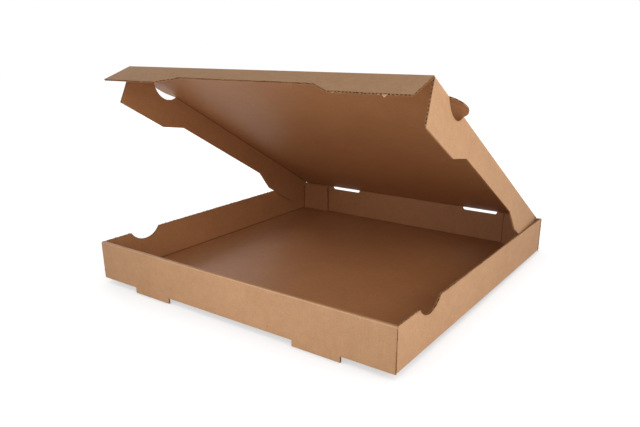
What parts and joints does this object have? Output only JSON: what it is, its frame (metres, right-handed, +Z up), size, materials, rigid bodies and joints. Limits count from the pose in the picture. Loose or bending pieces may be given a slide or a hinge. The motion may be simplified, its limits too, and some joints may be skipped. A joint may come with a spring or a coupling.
{
  "type": "pizza box",
  "caption": "Flat square corrugated carton with a rolled front wall, a hinged lid with side flaps and ears, and a front tuck flap, standing open.",
  "frame": {"origin": "under the middle of the tray, at the height of the feet", "axes": "+X to the right seen from the front, +Y from the front wall to the back wall, +Z up"},
  "size_m": [0.366, 0.36, 0.2253],
  "materials": {
    "board": "plain brown kraft, matt"
  },
  "bodies": {
    "tray": {"tray": "board"},
    "lid": {"lid": "board"},
    "front_flap": {"front_flap": "board"}
  },
  "joints": [
    {"name": "lid_hinge", "type": "hinge", "parent": "tray", "child": "lid", "pos_m": [0, 0.17925, 0.04655], "axis": [-1, 0, 0], "range_deg": [-28.3, 149.6]},
    {"name": "front_flap_hinge", "type": "hinge", "parent": "lid", "child": "front_flap", "pos_m": [0, -0.12477, 0.22456], "axis": [1, 0, 0], "range_deg": [-50, 40]}
  ]
}
